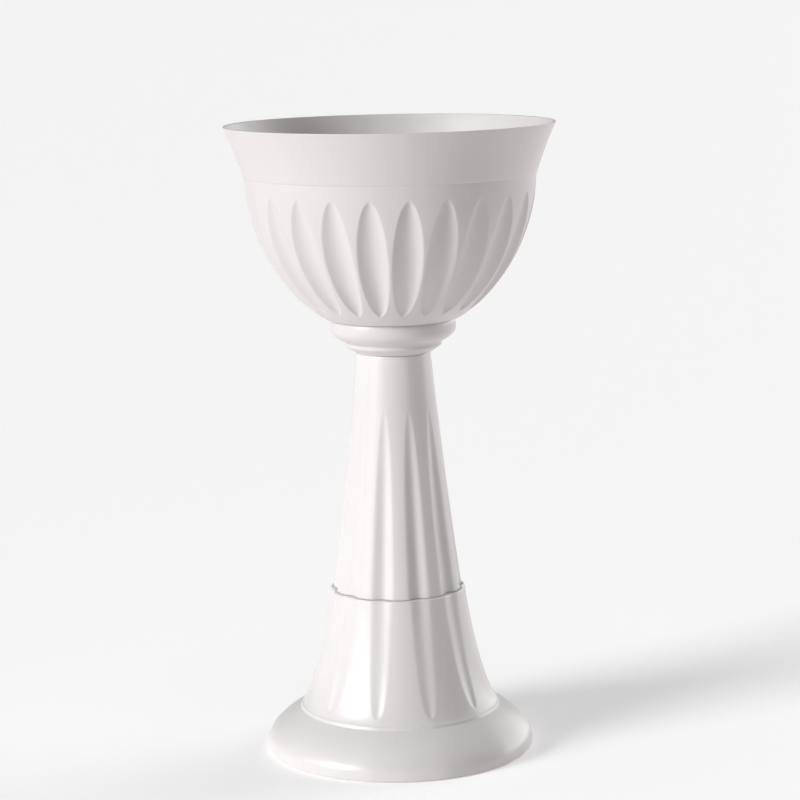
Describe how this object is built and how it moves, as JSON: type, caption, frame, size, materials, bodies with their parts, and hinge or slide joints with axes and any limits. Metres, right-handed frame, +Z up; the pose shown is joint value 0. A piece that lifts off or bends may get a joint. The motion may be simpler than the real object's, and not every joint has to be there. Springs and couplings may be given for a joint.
{
  "type": "pedestal planter",
  "caption": "White plastic planter: a wide fluted bowl with a ringed foot on a tall two-part fluted column that flares to a round foot flange.",
  "frame": {"origin": "centre of the footprint, on the floor", "axes": "+Z up along the column's axis, -Y towards the front, as pictured, with a land between two flutes close to it"},
  "size_m": [0.4, 0.4, 0.7709],
  "materials": {
    "bowl_plastic": "white moulded plastic, softly glossy",
    "shaft_plastic": "white moulded plastic, softly glossy",
    "base_plastic": "white moulded plastic, softly glossy"
  },
  "bodies": {
    "root": {"bowl": "bowl_plastic", "column_shaft": "shaft_plastic", "column_base": "base_plastic"}
  },
  "joints": []
}
